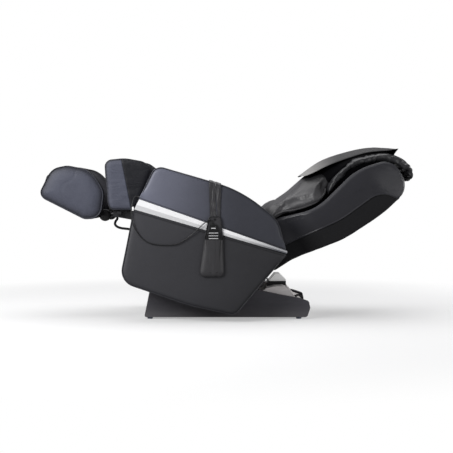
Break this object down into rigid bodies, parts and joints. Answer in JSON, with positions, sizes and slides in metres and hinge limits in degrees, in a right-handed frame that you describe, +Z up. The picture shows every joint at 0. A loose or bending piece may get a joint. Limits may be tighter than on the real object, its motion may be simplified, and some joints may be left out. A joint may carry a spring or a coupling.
{
  "type": "massage chair",
  "caption": "Reclining massage chair laid back: skirted base, tilting seat between padded arms, hinged back with a travelling roller carriage, and a leg unit with calf and foot wells.",
  "frame": {"origin": "on the floor, below the middle of the chair", "axes": "+X towards the head end, +Y to the right side of the user, +Z up; Y = 0 is the middle plane"},
  "size_m": [1.8174, 0.8403, 0.8464],
  "materials": {
    "steel": "satin dark grey paint",
    "zinc": "plain zinc-plated steel",
    "bright": "polished rod",
    "base_shell": "fine-grained dark moulding",
    "rear_shell": "grey moulding",
    "black_plastic": "black moulding",
    "grey_plastic": "light grey sheet",
    "foot_rubber": "blue-grey rubber",
    "wheel": "moulded black wheel",
    "cord": "black cord sheath",
    "seat_leather": "soft black leather",
    "arm_leather": "grey synthetic leather",
    "arm_top": "lighter grey synthetic leather",
    "trim": "bright lacquered trim",
    "strap": "dark grey cloth",
    "pouch": "dark grey cloth with piping",
    "remote": "dark handset case",
    "button": "light keys",
    "band": "dark glossy leather",
    "back_cloth": "black cloth cover",
    "back_pad": "soft black leather",
    "head_roll": "soft dark grey leather",
    "pillow": "pale grey leather, dark below",
    "leg_panel": "blue-grey synthetic leather",
    "leg_lining": "black lining",
    "roller": "tan roller",
    "motor": "black motor housing",
    "pump": "dark grey housing"
  },
  "bodies": {
    "base": {"base_chassis": "steel", "base_skirts": "base_shell", "base_front_cover": "base_shell", "base_rear_cover": "rear_shell", "base_feet": "foot_rubber", "control_box": "black_plastic", "control_box_lid": "grey_plastic", "air_pump": "pump", "cord_gland": "black_plastic", "mains_cord": "cord", "cord_coil": "cord", "mains_plug": "black_plastic"},
    "wheel_left": {"transport_wheel_left": "wheel"},
    "wheel_right": {"transport_wheel_right": "wheel"},
    "switch": {"power_switch": "black_plastic"},
    "seat": {"seat_frame": "steel", "seat_cushion": "seat_leather", "arm_shell_left": "arm_leather", "arm_shell_right": "arm_leather", "arm_pad_left": "arm_top", "arm_pad_right": "arm_top", "arm_trims": "trim", "arm_strap": "strap", "remote_gland": "black_plastic", "remote_cord": "cord"},
    "pouch": {"remote_pouch": "pouch"},
    "remote": {"remote_handset": "remote"},
    "button_1": {"remote_button_1": "button"},
    "button_2": {"remote_button_2": "button"},
    "button_3": {"remote_button_3": "button"},
    "back": {"back_frame": "steel", "back_bands": "band", "back_rear_cover": "back_cloth", "roller_rails": "zinc", "back_pad": "back_pad", "head_cover": "head_roll"},
    "screw": {"lead_screw": "zinc"},
    "carriage": {"massage_carriage": "steel"},
    "massage_arm_left": {"massage_arm_left": "grey_plastic"},
    "massage_arm_right": {"massage_arm_right": "grey_plastic"},
    "roller_left": {"massage_roller_left": "roller"},
    "roller_right": {"massage_roller_right": "roller"},
    "pillow": {"pillow_flap": "pillow"},
    "calf": {"leg_frame": "steel", "calf_pan": "leg_lining", "calf_wall_left": "leg_panel", "calf_wall_right": "leg_panel", "calf_divider": "leg_lining", "leg_air_hose": "cord"},
    "foot_carrier": {"foot_slide": "steel"},
    "foot": {"foot_sole": "leg_lining", "foot_wall_left": "leg_panel", "foot_wall_right": "leg_panel", "foot_divider": "leg_lining"},
    "seat_motor": {"seat_actuator": "motor"},
    "seat_rod": {"seat_actuator_rod": "bright"},
    "leg_motor": {"leg_actuator": "motor"},
    "leg_rod": {"leg_actuator_rod": "bright"},
    "back_motor": {"back_actuator": "motor"},
    "back_rod": {"back_actuator_rod": "bright"}
  },
  "joints": [
    {"name": "wheel_left_spin", "type": "hinge", "parent": "base", "child": "wheel_left", "pos_m": [0.318, -0.151, 0.028], "axis": [0, 1, 0], "continuous": true},
    {"name": "wheel_right_spin", "type": "hinge", "parent": "base", "child": "wheel_right", "pos_m": [0.318, 0.151, 0.028], "axis": [0, 1, 0], "continuous": true},
    {"name": "switch_rock", "type": "hinge", "parent": "base", "child": "switch", "pos_m": [0.31521, -0.03, 0.12678], "axis": [0, 1, 0], "range_deg": [-8, 8]},
    {"name": "seat_tilt", "type": "hinge", "parent": "base", "child": "seat", "pos_m": [-0.11, 0, 0.21], "axis": [0, 1, 0], "range_deg": [-19.3, 0]},
    {"name": "pouch_hang", "type": "hinge", "parent": "seat", "child": "pouch", "pos_m": [-0.055, -0.3965, 0.488], "axis": [0, 1, 0], "range_deg": [0, 19.4]},
    {"name": "remote_lift", "type": "slide", "parent": "pouch", "child": "remote", "axis": [0, 0, 1], "range_m": [0, 0.15], "deforming": ["remote_cord"]},
    {"name": "button_1_press", "type": "slide", "parent": "remote", "child": "button_1", "axis": [0, 1, 0], "range_m": [0, 0.001], "stiffness_N_per_m": 300, "springref_m": -0.0005},
    {"name": "button_2_press", "type": "slide", "parent": "remote", "child": "button_2", "axis": [0, 1, 0], "range_m": [0, 0.001], "stiffness_N_per_m": 300, "springref_m": -0.0005},
    {"name": "button_3_press", "type": "slide", "parent": "remote", "child": "button_3", "axis": [0, 1, 0], "range_m": [0, 0.001], "stiffness_N_per_m": 300, "springref_m": -0.0005},
    {"name": "back_recline", "type": "hinge", "parent": "seat", "child": "back", "pos_m": [0.15019, 0, 0.32973], "axis": [0, 1, 0], "range_deg": [-20, 0]},
    {"name": "carriage_travel", "type": "slide", "parent": "back", "child": "carriage", "axis": [0.829, 0, 0.5592], "range_m": [-0.17, 0.25]},
    {"name": "screw_turn", "type": "hinge", "parent": "back", "child": "screw", "pos_m": [0.52562, 0, 0.45269], "axis": [0.829, 0, 0.5592], "continuous": true},
    {"name": "knead_left", "type": "hinge", "parent": "carriage", "child": "massage_arm_left", "pos_m": [0.46124, -0.057, 0.45872], "axis": [0, 1, 0], "range_deg": [-8, 8]},
    {"name": "knead_right", "type": "hinge", "parent": "carriage", "child": "massage_arm_right", "pos_m": [0.46124, 0.057, 0.45872], "axis": [0, 1, 0], "range_deg": [-8, 8]},
    {"name": "roller_left_spin", "type": "hinge", "parent": "massage_arm_left", "child": "roller_left", "pos_m": [0.43105, -0.08, 0.50349], "axis": [0, 1, 0], "continuous": true},
    {"name": "roller_right_spin", "type": "hinge", "parent": "massage_arm_right", "child": "roller_right", "pos_m": [0.43105, 0.08, 0.50349], "axis": [0, 1, 0], "continuous": true},
    {"name": "pillow_lift", "type": "hinge", "parent": "back", "child": "pillow", "pos_m": [0.83762, 0, 0.79039], "axis": [0, 1, 0], "range_deg": [0, 70]},
    {"name": "leg_raise", "type": "hinge", "parent": "seat", "child": "calf", "pos_m": [-0.40302, 0, 0.49274], "axis": [0, 1, 0], "range_deg": [-38, 0], "deforming": ["leg_air_hose"]},
    {"name": "foot_extend", "type": "slide", "parent": "calf", "child": "foot_carrier", "axis": [-1, 0, 0], "range_m": [0, 0.08]},
    {"name": "foot_tilt", "type": "hinge", "parent": "foot_carrier", "child": "foot", "pos_m": [-0.59802, 0, 0.50174], "axis": [0, 1, 0], "range_deg": [-8, 4]},
    {"name": "seat_motor_turn", "type": "hinge", "parent": "base", "child": "seat_motor", "pos_m": [-0.25, 0, 0.062], "axis": [0, 1, 0], "range_deg": [-8.49, 0]},
    {"name": "seat_rod_travel", "type": "slide", "parent": "seat_motor", "child": "seat_rod", "axis": [-0.1531, 0, 0.9882], "range_m": [-0.05658, 0]},
    {"name": "leg_motor_turn", "type": "hinge", "parent": "seat", "child": "leg_motor", "pos_m": [-0.219, 0, 0.32234], "axis": [0, 1, 0], "range_deg": [-3.65, 0]},
    {"name": "leg_rod_travel", "type": "slide", "parent": "leg_motor", "child": "leg_rod", "axis": [-0.8227, 0, 0.5685], "range_m": [-0.02799, 0]},
    {"name": "back_motor_turn", "type": "hinge", "parent": "seat", "child": "back_motor", "pos_m": [-0.07364, 0, 0.31382], "axis": [0, 1, 0], "range_deg": [-2.63, 0]},
    {"name": "back_rod_travel", "type": "slide", "parent": "back_motor", "child": "back_rod", "axis": [0.9617, 0, -0.2741], "range_m": [0, 0.02568]}
  ],
  "couplings": [
    {"joint": "pouch_hang", "follows": "seat_tilt", "ratio": -1},
    {"joint": "screw_turn", "follows": "carriage_travel", "rad_per_m": 157.08},
    {"joint": "seat_motor_turn", "follows": "seat_tilt", "ratio": 0.43742},
    {"joint": "seat_rod_travel", "follows": "seat_tilt", "m_per_rad": 0.16768},
    {"joint": "leg_motor_turn", "follows": "leg_raise", "ratio": 0.094666},
    {"joint": "leg_rod_travel", "follows": "leg_raise", "m_per_rad": 0.042053},
    {"joint": "back_motor_turn", "follows": "back_recline", "ratio": 0.12896},
    {"joint": "back_rod_travel", "follows": "back_recline", "m_per_rad": -0.073279}
  ]
}
